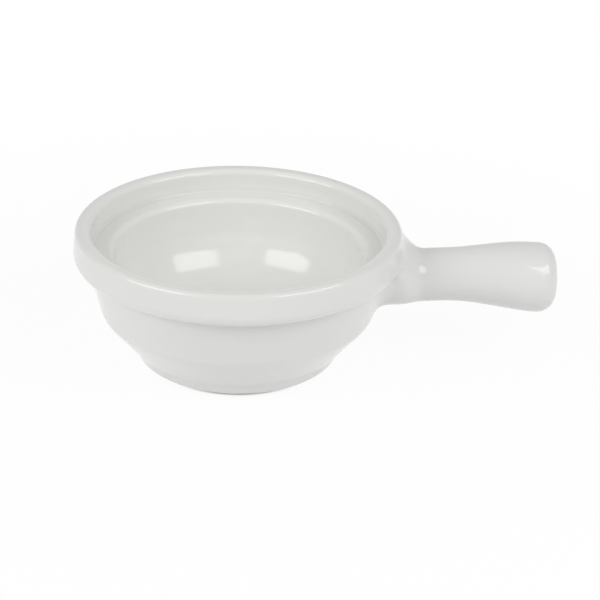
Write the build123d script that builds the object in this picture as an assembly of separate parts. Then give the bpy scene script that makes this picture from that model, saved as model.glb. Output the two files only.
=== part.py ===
"""Handled soup bowl: a thick glazed ceramic bowl with one hollow stick handle.

The bowl is turned about the Z axis and stands on its foot ring at Z = 0. The handle points
along +X. The clay bowl and the cast clay handle are joined by a film of slip, and one coat of
glaze covers both down to the bare foot ring. All sizes are in millimetres.
"""
import os
from math import atan2, cos, hypot, pi, sin, tan

from build123d import *

# Collar at the rim, measured over the glaze
bowl_height = 54.4
collar_radius = 62.0
collar_height = 12.4
collar_taper = 1.2
collar_edge_round = 4.0
rim_width = 6.0
rim_outer_round = 2.0
rim_inner_round = 2.2

# Ledge inside the collar
ledge_depth = 9.0
ledge_width = 8.1
ledge_corner_round = 1.0
ledge_lip_round = 2.2

# Wall under the collar, each step measured inwards from the one above it
collar_overhang = 5.8
collar_undercut = 0.7
undercut_round = 2.0
shoulder_taper = 4.6
shoulder_height = 21.9
shoulder_round = 5.5
cove_inset = 11.8
cove_height = 7.9
cove_round = 6.0
cup_inset = 2.2
cup_height = 3.5
cup_round = 3.5

# Well inside the bowl
floor_height = 8.2
floor_dish = 0.6
well_taper = 2.4
well_round = 32.0

# Foot ring
foot_inset = 8.0
foot_edge_round = 0.8
foot_ring_width = 4.6
foot_recess = 1.8
recess_round = 1.0
bare_foot_height = 0.9

# Handle, measured over the glaze and outwards from the collar
handle_drop = 19.8
handle_length = 57.8
neck_radius = 10.1
neck_length = 8.4
knob_radius = 13.3
knob_length = 8.0
knob_round = 6.6
palm_lift = 0.6
knob_droop = 0.8

# Flare where the handle meets the bowl
flare_length = 7.6
flare_sink = 2.0
flare_rise = 3.4
flare_spread = 5.0
flare_drop = 0.6
root_depth = 15.0

# Numbers of sections that shape the handle
root_sections = 9
stem_sections = 8

# Thicknesses
glaze_thickness = 0.4
slip_thickness = 0.8
handle_wall = 4.2

# Vent hole of the hollow handle, on its underside
vent_diameter = 3.0
vent_offset = 4.4

ledge_level = bowl_height - ledge_depth
collar_bottom = bowl_height - collar_height
rim_radius = collar_radius - collar_taper
collar_bore = rim_radius - rim_width
well_radius = collar_bore - ledge_width
shoulder_top_radius = collar_radius - collar_overhang
shoulder_radius = shoulder_top_radius - shoulder_taper
cove_radius = shoulder_radius - cove_inset
cup_radius = cove_radius - cup_inset
foot_radius = cup_radius - foot_inset
foot_bore = foot_radius - foot_ring_width
handle_height = bowl_height - handle_drop
handle_reach = collar_radius + handle_length
flare_end = collar_radius + flare_length
neck_end = flare_end + neck_length

# Corners of the half section, each with its distance from the axis, height and rounding
recess_corners = [
    (0, foot_recess, 0),
    (foot_bore, foot_recess, recess_round),
    (foot_bore, 0, foot_edge_round),
]
outer_corners = [
    (foot_radius, 0, foot_edge_round),
    (cup_radius, cup_height, cup_round),
    (cove_radius, cove_height, cove_round),
    (shoulder_radius, shoulder_height, shoulder_round),
    (shoulder_top_radius, collar_bottom - collar_undercut, undercut_round),
    (collar_radius, collar_bottom, collar_edge_round),
    (rim_radius, bowl_height, rim_outer_round),
]
inner_corners = [
    (collar_bore, bowl_height, rim_inner_round),
    (collar_bore, ledge_level, ledge_corner_round),
    (well_radius, ledge_level, ledge_lip_round),
    (well_radius - well_taper, floor_height + floor_dish, well_round),
    (0, floor_height, 0),
]
bowl_corners = recess_corners + outer_corners + inner_corners
envelope_corners = [(0, 0, 0)] + outer_corners + [(0, bowl_height, 0)]


def on_axis(edge):
    """Height at which the line of an edge meets the bowl's axis."""
    (radius, height), along = edge
    return height - radius * along[1] / along[0]


def inset_corners(corners, inset):
    """Corners of the same half section with every edge moved inwards by one distance."""
    edges = []
    for (radius, height, _), (next_radius, next_height, _) in zip(corners, corners[1:]):
        length = hypot(next_radius - radius, next_height - height)
        along = ((next_radius - radius) / length, (next_height - height) / length)
        edges.append(((radius - inset * along[1], height + inset * along[0]), along))
    moved = [(0, on_axis(edges[0]), 0)]
    for (point, along), (next_point, next_along), corner in zip(edges, edges[1:], corners[1:]):
        turn = along[0] * next_along[1] - along[1] * next_along[0]
        across = (next_point[0] - point[0], next_point[1] - point[1])
        step = (across[0] * next_along[1] - across[1] * next_along[0]) / turn
        rounding = corner[2] - inset if turn > 0 else corner[2] + inset
        moved.append((point[0] + step * along[0], point[1] + step * along[1], max(rounding, 0)))
    moved.append((0, on_axis(edges[-1]), 0))
    return moved


def fitted_rounds(corners):
    """Rounding of every corner between the ends, limited to what its two edges have room for."""
    reach = [0.0]
    for before, corner, after in zip(corners, corners[1:], corners[2:]):
        heading = atan2(corner[1] - before[1], corner[0] - before[0])
        next_heading = atan2(after[1] - corner[1], after[0] - corner[0])
        turn = atan2(sin(next_heading - heading), cos(next_heading - heading))
        reach.append(tan(abs(turn) / 2))
    reach.append(0.0)
    rounds = [corner[2] for corner in corners]
    share = [1.0] * len(corners)
    for i, (first, second) in enumerate(zip(corners, corners[1:])):
        used = rounds[i] * reach[i] + rounds[i + 1] * reach[i + 1]
        room = 0.98 * hypot(second[0] - first[0], second[1] - first[1])
        if used > room:
            share[i] = min(share[i], room / used)
            share[i + 1] = min(share[i + 1], room / used)
    return [size * part for size, part in zip(rounds, share)][1:-1]


def rounded_face(corners):
    """Flat face inside a chain of rounded corners whose two ends lie on the axis."""
    points = [(first, second) for first, second, _ in corners]
    edge = FilletPolyline(*points, radius=fitted_rounds(corners))
    return make_face(edge + Line(points[-1], points[0]))


def turned(corners, inset=0.0):
    """Solid turned about Z from a half section."""
    return revolve(Plane.XZ * rounded_face(inset_corners(corners, inset)), Axis.Z)


def across_handle(place, level):
    """Plane square to the handle."""
    return Plane(origin=(place, 0, level), x_dir=(0, 1, 0), z_dir=(1, 0, 0))


def root_section(place, inset):
    """Face across the handle's root, which widens as it nears the collar."""
    start = collar_radius - flare_sink
    step = min(max((place - start) / (flare_end - start), 0), 1)
    flare = (1 + cos(pi * step)) / 2
    above = neck_radius + flare_rise * flare
    below = neck_radius + flare_drop * flare
    half_width = neck_radius + flare_spread * flare
    plane = across_handle(place, handle_height + (above - below) / 2)
    return plane * Ellipse(half_width - inset, (above + below) / 2 - inset)


def stem_section(place, inset):
    """Round face across the stem, which arches up a little and swells towards its end."""
    knob_start = handle_reach - inset - knob_length
    step = (place - flare_end) / (knob_start - flare_end)
    level = handle_height + palm_lift * 4 * step * (1 - step) - knob_droop * step * step
    swell_step = max((place - neck_end) / (knob_start - neck_end), 0)
    swell = swell_step * swell_step * (3 - 2 * swell_step)
    return across_handle(place, level) * Circle(neck_radius + (knob_radius - neck_radius) * swell - inset)


def even_loft(section, start, stop, count, inset):
    """Loft through evenly spaced sections."""
    steps = round(count)
    places = [start + (stop - start) * step / steps for step in range(steps + 1)]
    return loft([section(place, inset) for place in places])


def knob_end(inset):
    """Rounded end of the handle, turned about the handle's own axis."""
    end = handle_reach - inset
    radius = knob_radius - inset
    corners = [
        (end - knob_length, 0, 0),
        (end - knob_length, radius, 0),
        (end, radius, max(knob_round - inset, 0)),
        (end, 0, 0),
    ]
    return Pos(0, 0, handle_height - knob_droop) * revolve(rounded_face(corners), Axis.X)


def handle_form(inset):
    """Whole handle with its surface moved inwards by one distance, run into the bowl's wall."""
    root = even_loft(root_section, collar_radius - root_depth, flare_end, root_sections, inset)
    stem = even_loft(stem_section, flare_end, handle_reach - inset - knob_length, stem_sections, inset)
    return root + stem + knob_end(inset)


# Bowl over the glaze and in the clay
bowl_glazed = turned(bowl_corners)
bowl_clay = turned(bowl_corners, glaze_thickness)
foot_band = Cylinder(cup_radius, bare_foot_height) - Cylinder(foot_bore - glaze_thickness, bare_foot_height)
bowl_body = bowl_clay + (bowl_glazed & (Pos(0, 0, bare_foot_height / 2) * foot_band))

# Handle over the glaze, in the clay and hollow
glazed_envelope = turned(envelope_corners)
clay_envelope = turned(envelope_corners, glaze_thickness)
slip_envelope = turned(envelope_corners, glaze_thickness - slip_thickness)
handle_glazed = handle_form(0) - glazed_envelope
handle_clay = handle_form(glaze_thickness) - clay_envelope
handle_hollow = handle_form(glaze_thickness + handle_wall)
vent = Pos(flare_end + vent_offset, 0, handle_height / 2) * Cylinder(vent_diameter / 2, handle_height)
handle = handle_form(glaze_thickness) - slip_envelope - handle_hollow - vent
handle_slip = (handle_clay & slip_envelope) - handle_hollow

# Glaze over everything but the bare foot ring, which leaves an island of it in the foot's recess
coat = (bowl_glazed + handle_glazed) - bowl_body - handle_clay - vent
underside_glaze, glaze = coat.solids().sort_by(SortBy.VOLUME)

nodes = {
    "bowl_body": bowl_body,
    "handle": handle,
    "handle_slip": handle_slip,
    "glaze": glaze,
    "underside_glaze": underside_glaze,
}
os.makedirs("parts", exist_ok=True)
for name, shape in nodes.items():
    export_step(shape, f"parts/{name}.step")
    print(name, round(shape.volume / 1000, 3), "cm3")
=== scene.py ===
"""Handled soup bowl in a white studio: a glossy glazed skin over the clay, soft boxes and a pale floor."""
from math import ceil, cos, pi, radians, sin, tan

import bmesh
import bpy
import numpy as np
from mathutils import Matrix, Vector


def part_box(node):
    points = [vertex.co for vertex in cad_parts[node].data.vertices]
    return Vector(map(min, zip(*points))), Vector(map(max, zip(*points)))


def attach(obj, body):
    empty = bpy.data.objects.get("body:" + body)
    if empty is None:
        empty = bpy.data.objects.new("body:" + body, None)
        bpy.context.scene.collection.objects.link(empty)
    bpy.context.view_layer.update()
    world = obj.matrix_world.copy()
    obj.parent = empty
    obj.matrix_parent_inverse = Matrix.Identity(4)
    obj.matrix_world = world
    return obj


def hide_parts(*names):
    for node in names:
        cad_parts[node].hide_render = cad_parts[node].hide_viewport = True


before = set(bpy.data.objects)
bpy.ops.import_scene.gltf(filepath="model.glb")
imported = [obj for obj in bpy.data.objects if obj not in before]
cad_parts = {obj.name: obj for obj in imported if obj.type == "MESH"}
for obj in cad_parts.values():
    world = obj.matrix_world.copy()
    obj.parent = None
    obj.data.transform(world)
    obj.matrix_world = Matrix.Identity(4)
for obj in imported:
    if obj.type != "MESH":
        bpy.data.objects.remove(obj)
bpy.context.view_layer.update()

MM = 0.001

# Bowl, measured over the glaze, with its height, reach and lower edge from the frame
glaze_low, glaze_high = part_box("glaze")
bowl_height = glaze_high.z
handle_reach = glaze_high.x
glaze_foot = glaze_low.z
collar_height = 12.4 * MM
collar_taper = 1.2 * MM
collar_edge_round = 4.0 * MM
collar_overhang = 5.8 * MM
collar_undercut = 0.7 * MM
undercut_round = 2.0 * MM
rim_width = 6.0 * MM
rim_outer_round = 2.0 * MM
rim_inner_round = 2.2 * MM
ledge_depth = 9.0 * MM
ledge_width = 8.1 * MM
ledge_corner_round = 1.0 * MM
ledge_lip_round = 2.2 * MM
shoulder_taper = 4.6 * MM
shoulder_height = 21.9 * MM
shoulder_round = 5.5 * MM
cove_inset = 11.8 * MM
cove_height = 7.9 * MM
cove_round = 6.0 * MM
cup_inset = 2.2 * MM
cup_height = 3.5 * MM
cup_round = 3.5 * MM
foot_inset = 8.0 * MM
well_taper = 2.4 * MM
well_round = 32.0 * MM
floor_height = 8.2 * MM
floor_dish = 0.6 * MM
floor_flat = 6.0 * MM
flat_rise = 0.1 * MM

# Handle, measured over the glaze and outwards from the collar
handle_length = 57.8 * MM
handle_drop = 19.8 * MM
neck_radius = 10.1 * MM
neck_length = 8.4 * MM
knob_radius = 13.3 * MM
knob_length = 8.0 * MM
knob_round = 6.6 * MM
palm_lift = 0.6 * MM
knob_droop = 0.8 * MM

# Flare and fillet where the handle grows out of the bowl
flare_length = 7.6 * MM
flare_sink = 2.0 * MM
flare_rise = 3.4 * MM
flare_drop = 0.6 * MM
flare_spread = 5.0 * MM
fillet_under = 2.8 * MM
fillet_over = 8.0 * MM
fillet_rim = 5.5 * MM

# Vent hole on the underside of the handle's neck
vent_offset = 4.4 * MM
vent_radius = 1.5 * MM
vent_lip = 0.45 * MM
vent_lip_rise = 0.12 * MM
vent_lip_share = 0.3
vent_inset = 0.2 * MM
vent_patch_length = 3.0 * MM
vent_patch_width = 2.9 * MM

# Radii, levels and places that follow
collar_radius = handle_reach - handle_length
collar_bottom = bowl_height - collar_height
rim_radius = collar_radius - collar_taper
collar_bore = rim_radius - rim_width
ledge_level = bowl_height - ledge_depth
well_radius = collar_bore - ledge_width
shoulder_top_radius = collar_radius - collar_overhang
shoulder_radius = shoulder_top_radius - shoulder_taper
cove_radius = shoulder_radius - cove_inset
cup_radius = cove_radius - cup_inset
foot_radius = cup_radius - foot_inset
glaze_foot_radius = foot_radius + (cup_radius - foot_radius) / cup_height * glaze_foot
handle_height = bowl_height - handle_drop
flare_start = collar_radius - flare_sink
flare_end = collar_radius + flare_length
neck_end = flare_end + neck_length
knob_start = handle_reach - knob_length
vent_place = flare_end + vent_offset

# How finely the skin is worked
turn_steps = 104
longest_run = 3.2 * MM
round_step = radians(14)
top_slack = 0.01 * MM
rim_edge = 1.5 * MM
merge_gap = 0.001 * MM
knob_steps = 7
end_shares = (0.72, 0.4)
bridge_cuts = 3
smooth_rounds = 30
settle_rounds = 4
settle_probe = 0.02 * MM
least_slope = 0.05
skin_thickness = 0.3 * MM

# Runs of rings along the handle: start and stop, measured from the vent, and count
vent_runs = ((-8.0 * MM, -3.0 * MM, 4), (-1.5 * MM, 3.0 * MM, 4))
palm_start = 5.2 * MM
palm_rings = 14

# How far from the bowl's wall and the handle the joint between them is worked
root_margin = 0.6 * MM
wall_margin = 0.2 * MM
wall_depth = 1.0 * MM
loose_run = 9.0 * MM
loose_spread = 4.0 * MM

# Camera and light
camera_turn = radians(2.94)
camera_pitch = radians(25.58)
camera_roll = radians(1.4)
camera_away = 832.2 * MM
camera_aim = (23.48 * MM, 0, 24.4 * MM)
lens_mm = 132.0
sensor_mm = 36.0
nearest_seen = 10 * MM
lamp_away = 900 * MM
sky_seen = 0.8
sky_fill = 0.476

# Floor: half its width, and shares of white that add up with the distance from the bowl's axis
floor_half = 3000 * MM
contact_white = 0.08
near_white = 0.86
far_white = 0.06
contact_run = (30.6 * MM, 32.8 * MM)
far_run = (120 * MM, 300 * MM)

# Half section of the glaze from the bare foot over the rim to the floor: radius, height, rounding
glaze_section = [
    (glaze_foot_radius, glaze_foot, 0.0),
    (cup_radius, cup_height, cup_round),
    (cove_radius, cove_height, cove_round),
    (shoulder_radius, shoulder_height, shoulder_round),
    (shoulder_top_radius, collar_bottom - collar_undercut, undercut_round),
    (collar_radius, collar_bottom, collar_edge_round),
    (rim_radius, bowl_height, rim_outer_round),
    (collar_bore, bowl_height, rim_inner_round),
    (collar_bore, ledge_level, ledge_corner_round),
    (well_radius, ledge_level, ledge_lip_round),
    (well_radius - well_taper, floor_height + floor_dish, well_round),
    (floor_flat, floor_height + flat_rise, 0.0),
    (0.0, floor_height + flat_rise, 0.0),
]


class Reading:
    """An output of a node. Python's operators on it add Math nodes."""

    def __init__(self, work, socket):
        self.work = work
        self.socket = socket

    def worked(self, operation, first, second):
        return self.work.node("ShaderNodeMath", {"operation": operation}, {0: first, 1: second})

    def __add__(self, other):
        return self.worked("ADD", self, other)

    def __radd__(self, other):
        return self.worked("ADD", other, self)

    def __sub__(self, other):
        return self.worked("SUBTRACT", self, other)

    def __rsub__(self, other):
        return self.worked("SUBTRACT", other, self)

    def __mul__(self, other):
        return self.worked("MULTIPLY", self, other)

    def __rmul__(self, other):
        return self.worked("MULTIPLY", other, self)

    def __pow__(self, other):
        return self.worked("POWER", self, other)

    def at_least(self, other):
        return self.worked("MAXIMUM", self, other)


class NodeWork:
    """The nodes of one material or world."""

    def __init__(self, tree):
        self.tree = tree

    def node(self, kind, settings, sockets, output=0):
        """Add a node with its settings and the values or links of its sockets. Returns one output."""
        node = self.tree.nodes.new(kind)
        for name, value in settings.items():
            setattr(node, name, value)
        for name, value in sockets.items():
            if isinstance(value, Reading):
                self.tree.links.new(value.socket, node.inputs[name])
            else:
                node.inputs[name].default_value = value
        return Reading(self, node.outputs[output])

    def shown(self, output, lighting, looking):
        """Show one shader to the light, and another to camera, glossy and transmission rays."""
        seen = self.node("ShaderNodeLightPath", {}, {}, "Is Camera Ray")
        for ray in ("Is Glossy Ray", "Is Transmission Ray"):
            seen = seen.at_least(self.node("ShaderNodeLightPath", {}, {}, ray))
        mix = self.node("ShaderNodeMixShader", {}, {0: seen, 1: lighting, 2: looking})
        self.tree.links.new(mix.socket, self.tree.nodes[output].inputs["Surface"])


class Finish(NodeWork):
    """A material made of nodes on Object coordinates, which are metres in the bowl's own frame."""

    def __init__(self, name, constants):
        self.material = bpy.data.materials.new(name)
        self.material.use_nodes = True
        super().__init__(self.material.node_tree)
        self.shader = self.tree.nodes["Principled BSDF"]
        for socket, value in constants.items():
            self.shader.inputs[socket].default_value = value
        self.place = self.node("ShaderNodeTexCoord", {}, {}, "Object")
        self.x = self.node("ShaderNodeSeparateXYZ", {}, {0: self.place}, "X")
        self.y = self.node("ShaderNodeSeparateXYZ", {}, {0: self.place}, "Y")
        self.z = self.node("ShaderNodeSeparateXYZ", {}, {0: self.place}, "Z")

    def feed(self, socket, reading):
        self.tree.links.new(reading.socket, self.shader.inputs[socket])

    def from_axis(self):
        """Distance from the bowl's axis."""
        return (self.x * self.x + self.y * self.y) ** 0.5

    def step(self, value, start, stop):
        """Smooth step from 0 at start to 1 at stop."""
        settings = {"interpolation_type": "SMOOTHSTEP"}
        sockets = {"Value": value, "From Min": start, "From Max": stop}
        return self.node("ShaderNodeMapRange", settings, sockets)

    def noise(self, size, detail=2.0, roughness=0.5, stretch=(1.0, 1.0, 1.0)):
        """Noise between 0 and 1 whose patches are about this size."""
        place = self.node("ShaderNodeMapping", {}, {"Vector": self.place, "Scale": stretch})
        sockets = {"Vector": place, "Scale": 1 / size, "Detail": detail, "Roughness": roughness}
        return self.node("ShaderNodeTexNoise", {}, sockets, "Fac")

    def specks(self, spacing, size, share):
        """Small round specks, in this share of the cells of this spacing."""
        sockets = {"Vector": self.place, "Scale": 1 / spacing}
        distance = self.node("ShaderNodeTexVoronoi", {}, sockets, "Distance")
        lot = self.node("ShaderNodeTexVoronoi", {}, sockets, "Color")
        drawn = self.node("ShaderNodeSeparateColor", {}, {0: lot}, "Red")
        lot_blur = 0.02
        chosen = self.step(drawn, share, share - lot_blur)
        return self.step(distance, size / spacing, 0.5 * size / spacing) * chosen

    def mixed(self, first, second, share):
        """Colour between two, by a share."""
        return self.node("ShaderNodeMix", {"data_type": "RGBA"}, {0: share, 6: first, 7: second}, 2)

    def bumped(self, *layers):
        """Normal with layers of bump on each other, each a reading and its depth."""
        normal = None
        for height, depth in layers:
            sockets = {"Height": height, "Distance": depth, "Strength": 1.0}
            if normal:
                sockets["Normal"] = normal
            normal = self.node("ShaderNodeBump", {}, sockets)
        self.feed("Normal", normal)


def colour(red, green, blue):
    return (red, green, blue, 1.0)


def section_marks(finish, places):
    """Soft marks round places of the half section, each with its radius, height and reach."""
    from_axis = finish.from_axis()
    marks = []
    for radius, height, reach in places:
        across = from_axis - radius
        up = finish.z - height
        marks.append(finish.step((across * across + up * up) ** 0.5, reach, 0.0))
    return sum(marks)


def painted_light_inside(finish):
    """1 on the glaze inside the bowl, which is painted whiter as painted light against the well's shade, 0
    on the glaze outside, with a soft change on the rim's top.
    """
    wall_slope = 1.56
    wall_foot_radius = 35 * MM
    wall_foot_height = 9 * MM
    floor_middle = 6 * MM
    rim_middle = (rim_radius + collar_bore) / 2
    from_axis = finish.from_axis()
    wall_middle = wall_slope * (from_axis - wall_foot_radius) + wall_foot_height
    above_wall = finish.z - wall_middle.at_least(floor_middle)
    within_rim = finish.step(from_axis, rim_middle + 3 * MM, rim_middle - 4 * MM)
    return finish.step(above_wall, -1 * MM, 1 * MM) * within_rim


def white_glaze_finish():
    """Glossy white glaze, thin and warm on the edges and cooler where it pools, and painted whiter inside
    the bowl: painted light that evens out the shade in the well.
    """
    glaze = Finish("white_glaze", {"IOR": 1.5})
    edges = section_marks(glaze, (
        (rim_radius - 0.6 * MM, bowl_height - 0.6 * MM, 2.6 * MM),
        (collar_bore + 0.6 * MM, bowl_height - 0.6 * MM, 2.4 * MM),
        (collar_radius - 1.2 * MM, collar_bottom + 1.2 * MM, 2.6 * MM),
        (well_radius + 0.6 * MM, ledge_level - 0.6 * MM, 2.2 * MM),
        (shoulder_radius, shoulder_height, 2.8 * MM),
    ))
    hollows = section_marks(glaze, (
        (shoulder_top_radius + 0.6 * MM, collar_bottom - 0.6 * MM, 2.4 * MM),
        (collar_bore - 0.3 * MM, ledge_level + 0.3 * MM, 2.0 * MM),
        (cove_radius, cove_height, 3.4 * MM),
        (glaze_foot_radius, glaze_foot, 1.4 * MM),
    ))
    cloud = glaze.noise(26 * MM, detail=3.0, roughness=0.55)
    thin = edges * (0.08 + 0.2 * glaze.noise(7 * MM))
    pooled = hollows * (0.3 + 0.5 * cloud)
    outside_glaze_tone = glaze.mixed(colour(0.726, 0.727, 0.711), colour(0.75, 0.75, 0.732), cloud)
    # Painted light: the inside colour is whiter than the outside, so that the shaded well looks as bright
    # as the outside.
    body = glaze.mixed(outside_glaze_tone, colour(0.822, 0.822, 0.802), painted_light_inside(glaze))
    warmed = glaze.mixed(body, colour(0.80, 0.782, 0.725), thin)
    cooled = glaze.mixed(warmed, colour(0.71, 0.723, 0.71), pooled)
    iron = glaze.specks(5.5 * MM, 0.22 * MM, 0.10)
    glaze.feed("Base Color", glaze.mixed(cooled, colour(0.48, 0.40, 0.30), iron * 0.45))
    glaze.feed("Roughness", 0.09 + 0.07 * glaze.noise(18 * MM) + 0.06 * thin)
    ripple = glaze.noise(3.4 * MM, detail=1.0)
    wave = glaze.noise(16 * MM, detail=1.0)
    pinholes = glaze.specks(8.0 * MM, 0.18 * MM, 0.08)
    glaze.bumped((ripple, 0.012 * MM), (wave, 0.05 * MM), (1 - pinholes, 0.05 * MM))
    return glaze.material


def clay_finish(name, pale, dark, grain, streak):
    """Matte fired clay with fine grain and grit, and streaks drawn out by a stretch along X, Y and Z."""
    clay = Finish(name, {"IOR": 1.45})
    drawn = clay.noise(2.2 * MM, detail=3.0, roughness=0.6, stretch=streak)
    sand = clay.noise(grain, roughness=0.7)
    grit = clay.specks(1.6 * MM, 0.2 * MM, 0.14)
    body = clay.mixed(pale, dark, 0.6 * drawn + 0.4 * sand)
    clay.feed("Base Color", clay.mixed(body, colour(0.36, 0.29, 0.22), grit * 0.6))
    clay.feed("Roughness", 0.78 + 0.16 * sand)
    clay.bumped((drawn, 0.04 * MM), (sand, 0.03 * MM))
    return clay.material


def handle_ring(place):
    """Height of the middle, half width and half height of the handle's section, with its place along X."""
    place = np.asarray(place, float)
    step = np.clip((place - flare_start) / (flare_end - flare_start), 0, 1)
    flare = (1 + np.cos(pi * step)) / 2
    above = neck_radius + flare_rise * flare
    below = neck_radius + flare_drop * flare
    along = np.clip((place - flare_end) / (knob_start - flare_end), 0, 1)
    arch = palm_lift * 4 * along * (1 - along) - knob_droop * along * along
    swell_step = np.clip((place - neck_end) / (knob_start - neck_end), 0, 1)
    swell = (knob_radius - neck_radius) * swell_step * swell_step * (3 - 2 * swell_step)
    level = handle_height + (above - below) / 2 + arch
    return level, neck_radius + flare_spread * flare + swell, (above + below) / 2 + swell


def off_handle(points):
    """About how far points are outside the handle's surface."""
    level, half_width, half_height = handle_ring(points[:, 0])
    across = points[:, 1] / half_width
    up = (points[:, 2] - level) / half_height
    tiny = 1e-6
    size = np.maximum(np.hypot(across, up), tiny)
    slope = np.hypot(across / half_width, up / half_height) / size
    return (size - 1) / np.maximum(slope, tiny)


def off_bowl(points, section):
    """How far points are outside the bowl's outer wall, from its half section."""
    start = section[:-1]
    run = section[1:] - start
    length = np.hypot(run[:, 0], run[:, 1])
    flat = np.stack([np.hypot(points[:, 0], points[:, 1]), points[:, 2]], axis=1)
    gap = flat[:, None, :] - start[None, :, :]
    share = np.clip((gap * run).sum(2) / (length * length), 0, 1)
    nearest = gap - share[:, :, None] * run
    distance = np.hypot(nearest[:, :, 0], nearest[:, :, 1])
    best = distance.argmin(axis=1)
    rows = np.arange(len(points))
    side = gap[rows, best, 0] * run[best, 1] - gap[rows, best, 1] * run[best, 0]
    return np.where(side > 0, 1, -1) * distance[rows, best]


def off_skin(points, section):
    """How far points are outside bowl and handle with a fillet between them, softest over the handle."""
    bowl = off_bowl(points, section)
    handle = off_handle(points)
    levels = (handle_height - neck_radius, handle_height + neck_radius, bowl_height)
    fillet = np.interp(points[:, 2], levels, (fillet_under, fillet_over, fillet_rim))
    share = np.clip(0.5 + 0.5 * (handle - bowl) / fillet, 0, 1)
    return handle * (1 - share) + bowl * share - fillet * share * (1 - share)


def settle(verts, section):
    """Move vertices square onto the joined skin."""
    points = np.array([vert.co for vert in verts], float)
    for _ in range(settle_rounds):
        off = off_skin(points, section)
        slopes = []
        for axis in range(3):
            shifted = points.copy()
            shifted[:, axis] += settle_probe
            slopes.append((off_skin(shifted, section) - off) / settle_probe)
        slope = np.stack(slopes, axis=1)
        steep = np.maximum((slope * slope).sum(axis=1), least_slope)
        points -= (off / steep)[:, None] * slope
    for vert, point in zip(verts, points):
        vert.co = point


def rounded_section(bm):
    """Edges of the glaze's half section with its corners rounded and its long runs divided."""
    corners = [bm.verts.new((radius, 0, height)) for radius, height, _ in glaze_section]
    for first, second in zip(corners, corners[1:]):
        bm.edges.new((first, second))
    for i in range(1, len(corners) - 1):
        rounding = glaze_section[i][2]
        if rounding == 0:
            continue
        before = Vector(glaze_section[i][:2]) - Vector(glaze_section[i - 1][:2])
        after = Vector(glaze_section[i + 1][:2]) - Vector(glaze_section[i][:2])
        turn = before.angle(after)
        bmesh.ops.bevel(
            bm, geom=[corners[i]], offset=rounding * tan(turn / 2), offset_type="OFFSET",
            segments=max(2, ceil(turn / round_step)), profile=0.5, affect="VERTICES",
            clamp_overlap=False, material=-1,
        )
    for edge in [edge for edge in bm.edges if edge.calc_length() > longest_run]:
        bmesh.ops.subdivide_edges(bm, edges=[edge], cuts=ceil(edge.calc_length() / longest_run) - 1)


def outer_section(bm):
    """Radius and height along the half section, from the bare foot up to the rim's top."""
    vert = min(bm.verts, key=lambda vert: vert.co.z)
    edge = vert.link_edges[0]
    section = [(vert.co.x, vert.co.z)]
    while vert.co.z < bowl_height - top_slack or vert.co.x > rim_radius - rim_edge:
        vert = edge.other_vert(vert)
        section.append((vert.co.x, vert.co.z))
        edge = [other for other in vert.link_edges if other != edge][0]
    return np.array(section)


def turned_bowl(bm):
    """Turn the glaze's half section about the axis. Returns the outer part of the section."""
    rounded_section(bm)
    section = outer_section(bm)
    bmesh.ops.spin(
        bm, geom=bm.verts[:] + bm.edges[:], cent=(0, 0, 0), axis=(0, 0, 1), dvec=(0, 0, 0),
        angle=2 * pi, steps=turn_steps, use_merge=True, use_normal_flip=False, use_duplicate=False,
    )
    bmesh.ops.remove_doubles(bm, verts=bm.verts[:], dist=merge_gap)
    return section


def handle_stations():
    """Places along the handle at which its rings stand, closer together round the vent."""
    runs = [(vent_place + start, vent_place + stop, count) for start, stop, count in vent_runs]
    runs.append((vent_place + palm_start, knob_start, palm_rings))
    return [place for run in runs for place in np.linspace(*run)]


def handle_rings():
    """Rings of the handle up to its flat end: place, height of the middle, half width and half height."""
    rings = [(station, *handle_ring(station)) for station in handle_stations()]
    level = rings[-1][1]
    for i in range(knob_steps + 1):
        angle = pi / 2 * i / knob_steps
        size = knob_radius - knob_round * (1 - cos(angle))
        rings.append((handle_reach - knob_round * (1 - sin(angle)), level, size, size))
    flat = knob_radius - knob_round
    return rings + [(handle_reach, level, flat * share, flat * share) for share in end_shares]


def handle_tube(bm, count):
    """Grow the handle from its root to its rounded end. Returns the edges of the first ring."""
    rings = handle_rings()
    before = rings[0]
    upright = Matrix(((0, 0, 1, 0), (0, 1, 0, 0), (1, 0, 0, 0), (0, 0, 0, 1)))
    place = Matrix.Translation((before[0], 0, before[1])) @ Matrix.Diagonal((1, before[2], before[3], 1))
    made = bmesh.ops.create_circle(bm, cap_ends=False, radius=1, segments=count, matrix=place @ upright)
    first = list(dict.fromkeys(edge for vert in made["verts"] for edge in vert.link_edges))
    edges = first
    for ring in rings[1:]:
        grown = bmesh.ops.extrude_edge_only(bm, edges=edges)["geom"]
        verts = [item for item in grown if isinstance(item, bmesh.types.BMVert)]
        edges = [item for item in grown if isinstance(item, bmesh.types.BMEdge)]
        edges = [edge for edge in edges if edge.verts[0] in verts and edge.verts[1] in verts]
        centre = Matrix.Translation((-before[0], 0, -before[1]))
        grow = (1, float(ring[2] / before[2]), float(ring[3] / before[3]))
        bmesh.ops.scale(bm, vec=grow, space=centre, verts=verts)
        bmesh.ops.translate(bm, vec=(ring[0] - before[0], 0, ring[1] - before[1]), verts=verts)
        before = ring
    bmesh.ops.holes_fill(bm, edges=edges, sides=0)
    return first


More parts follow.
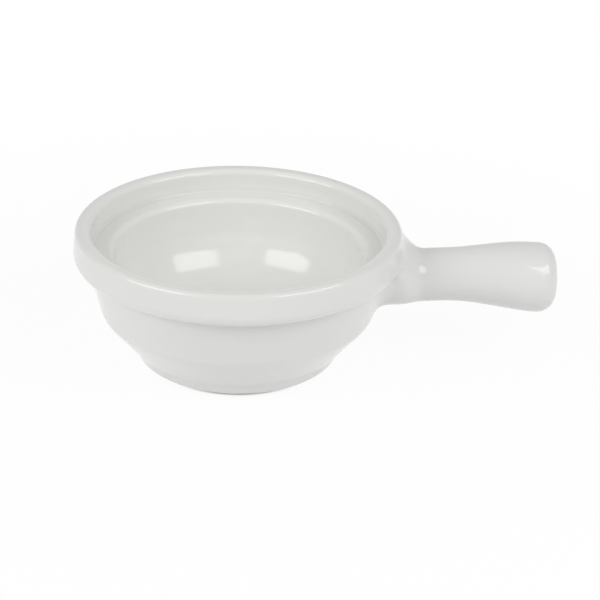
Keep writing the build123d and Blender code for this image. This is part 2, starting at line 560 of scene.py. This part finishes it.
def join_handle(bm, section):
    """Open the wall where the handle covers it, bridge the handle to it and soften the joint."""
    centres = np.array([face.calc_center_median() for face in bm.faces])
    on_wall = np.abs(off_bowl(centres, section)) < wall_margin
    covered = (off_handle(centres) < root_margin) & (centres[:, 0] > 0) & on_wall
    bmesh.ops.delete(bm, geom=[face for face, gone in zip(bm.faces, covered) if gone], context="FACES")
    hole = [edge for edge in bm.edges if edge.is_boundary and edge.verts[0].co.x > cup_radius]
    first = handle_tube(bm, len(hole))
    bridge = bmesh.ops.bridge_loops(bm, edges=hole + first)
    across = [edge for edge in bridge["edges"] if edge not in hole and edge not in first]
    bmesh.ops.subdivide_edges(bm, edges=across, cuts=bridge_cuts, use_grid_fill=True)

    points = np.array([vert.co for vert in bm.verts])
    from_bowl = off_bowl(points, section)
    close = (from_bowl > -wall_depth) & (from_bowl < loose_run) & (off_handle(points) < loose_spread)
    close &= points[:, 0] > cove_radius
    loose = [vert for vert, near in zip(bm.verts, close) if near]
    for _ in range(smooth_rounds):
        bmesh.ops.smooth_vert(
            bm, verts=loose, factor=0.5, use_axis_x=True, use_axis_y=True, use_axis_z=True,
        )
        settle(loose, section)

    points = np.array([vert.co for vert in bm.verts])
    wide = (off_bowl(points, section) > -wall_depth) & (off_handle(points) < 2 * fillet_over)
    wide &= (points[:, 0] > cove_radius) & (points[:, 0] < neck_end)
    settle([vert for vert, near in zip(bm.verts, wide) if near], section)


def open_vent(bm):
    """Round vent hole with a soft lip, on the underside of the handle's neck."""
    level, _, half_height = handle_ring(vent_place)
    under = float(level - half_height)

    def beside(face):
        centre = face.calc_center_median()
        inside = abs(centre.x - vent_place) < vent_patch_length and abs(centre.y) < vent_patch_width
        return inside and centre.z < level - 0.5 * half_height

    block = [face for face in bm.faces if beside(face)]
    patch = bmesh.ops.dissolve_faces(bm, faces=block, use_verts=True)["region"][0]
    lip_rings = (
        (vent_radius + vent_lip, 0.0),
        (vent_radius + vent_lip_share * vent_lip, vent_lip_rise),
        (vent_radius, vent_lip),
    )
    for radius, lift in lip_rings:
        bmesh.ops.inset_individual(bm, faces=[patch], thickness=vent_inset, use_even_offset=True)
        for vert in patch.verts:
            way = Vector((vert.co.x - vent_place, vert.co.y)).normalized() * radius
            sag = half_height - (half_height * half_height - way.y * way.y) ** 0.5
            vert.co = (vent_place + way.x, way.y, under + sag + lift)
    bmesh.ops.delete(bm, geom=[patch], context="FACES_ONLY")


def face_outwards(bm):
    """Point all faces outwards, by the face of the collar opposite the handle."""
    bmesh.ops.recalc_face_normals(bm, faces=bm.faces[:])
    collar = max(bm.faces, key=lambda face: -face.calc_center_median().x)
    if collar.normal.x > 0:
        bmesh.ops.reverse_faces(bm, faces=bm.faces[:])


def placed(name, bm, material):
    """Object at the origin made of a bmesh, with one material."""
    mesh = bpy.data.meshes.new(name)
    bm.to_mesh(mesh)
    bm.free()
    mesh.materials.append(material)
    piece = bpy.data.objects.new(name, mesh)
    bpy.context.scene.collection.objects.link(piece)
    return piece


def glazed_skin(material):
    """Coat of glaze over bowl and handle as one skin."""
    bm = bmesh.new()
    section = turned_bowl(bm)
    join_handle(bm, section)
    open_vent(bm)
    face_outwards(bm)
    for face in bm.faces:
        face.smooth = True
    skin = placed("glazed_skin", bm, material)
    smooth = skin.modifiers.new("smooth", "SUBSURF")
    smooth.levels = 1
    smooth.render_levels = 1
    coat = skin.modifiers.new("coat", "SOLIDIFY")
    coat.thickness = skin_thickness
    coat.offset = -1
    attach(skin, "root")
    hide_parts("glaze")


def repaint(node, material):
    """Give a CAD node its finish."""
    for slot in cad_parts[node].material_slots:
        slot.material = material


def studio_floor():
    """Pale floor, white to look at, that keeps the bowl's soft shadow."""
    paint = Finish("pale_floor", {})
    pale = paint.node("ShaderNodeBsdfDiffuse", {}, {"Color": colour(0.97, 0.97, 0.97)})
    glow = paint.node("ShaderNodeEmission", {}, {"Strength": 1.0})
    away = paint.from_axis()
    near = near_white * paint.step(away, *contact_run)
    far = far_white * paint.step(away, *far_run)
    lit = paint.node("ShaderNodeMixShader", {}, {0: contact_white + near + far, 1: pale, 2: glow})
    paint.shown("Material Output", pale, lit)
    bm = bmesh.new()
    bmesh.ops.create_grid(bm, x_segments=4, y_segments=4, size=floor_half)
    placed("floor", bm, paint.material)


def studio_world():
    """Pale all round to look at, with an even fill light."""
    world = bpy.data.worlds.new("studio")
    bpy.context.scene.world = world
    world.use_nodes = True
    sky = NodeWork(world.node_tree)
    white = colour(1.0, 1.0, 1.0)
    fill = sky.node("ShaderNodeBackground", {}, {"Color": white, "Strength": sky_fill})
    seen = sky.node("ShaderNodeBackground", {}, {"Color": white, "Strength": sky_seen})
    sky.shown("World Output", fill, seen)


def soft_box(name, azimuth, elevation, size, tilt, power):
    """Soft box aimed at the bowl, azimuth counted from the camera's side."""
    lamp = bpy.data.lights.new(name, "AREA")
    lamp.shape = "RECTANGLE"
    lamp.size, lamp.size_y = size
    lamp.energy = power
    box = bpy.data.objects.new(name, lamp)
    flat = lamp_away * cos(elevation)
    aim = Vector((0, 0, ledge_level))
    turn = azimuth - camera_turn
    place = aim + Vector((flat * sin(turn), -flat * cos(turn), lamp_away * sin(elevation)))
    facing = (aim - place).to_track_quat("-Z", "Y").to_matrix().to_4x4()
    box.matrix_world = Matrix.Translation(place) @ facing @ Matrix.Rotation(tilt, 4, "Z")
    bpy.context.scene.collection.objects.link(box)


def studio_camera():
    """Camera at the photograph's viewing angle."""
    lens = bpy.data.cameras.new("camera")
    lens.sensor_width = sensor_mm
    lens.lens = lens_mm
    lens.clip_start = nearest_seen
    camera = bpy.data.objects.new("camera", lens)
    turn = Matrix.Rotation(-camera_turn, 4, "Z")
    aim = turn @ Vector(camera_aim)
    back = Vector((0, -camera_away * cos(camera_pitch), camera_away * sin(camera_pitch)))
    eye = aim + turn @ back
    look = (aim - eye).to_track_quat("-Z", "Y").to_matrix().to_4x4()
    camera.matrix_world = Matrix.Translation(eye) @ look @ Matrix.Rotation(camera_roll, 4, "Z")
    bpy.context.scene.collection.objects.link(camera)
    bpy.context.scene.camera = camera


# The pieces and their finishes
white_glaze = white_glaze_finish()
glazed_skin(white_glaze)
repaint("underside_glaze", white_glaze)
repaint("bowl_body", clay_finish(
    "bowl_clay", pale=colour(0.78, 0.74, 0.66), dark=colour(0.68, 0.62, 0.53),
    grain=0.5 * MM, streak=(1.0, 1.0, 3.0),
))
repaint("handle", clay_finish(
    "handle_clay", pale=colour(0.80, 0.76, 0.69), dark=colour(0.71, 0.66, 0.57),
    grain=0.35 * MM, streak=(0.2, 1.0, 1.0),
))
repaint("handle_slip", clay_finish(
    "joining_slip", pale=colour(0.72, 0.67, 0.59), dark=colour(0.60, 0.54, 0.46),
    grain=0.25 * MM, streak=(1.0, 0.25, 0.25),
))

# The studio
studio_floor()
studio_world()
soft_box(
    "soft_box_left", azimuth=radians(-56), elevation=radians(29.7), size=(0.71, 0.352),
    tilt=radians(17.7), power=3.0,
)
soft_box(
    "soft_box_right", azimuth=radians(54.1), elevation=radians(36.4), size=(0.693, 0.39),
    tilt=radians(-16.4), power=2.9,
)
studio_camera()
bpy.context.scene.view_settings.view_transform = "Standard"
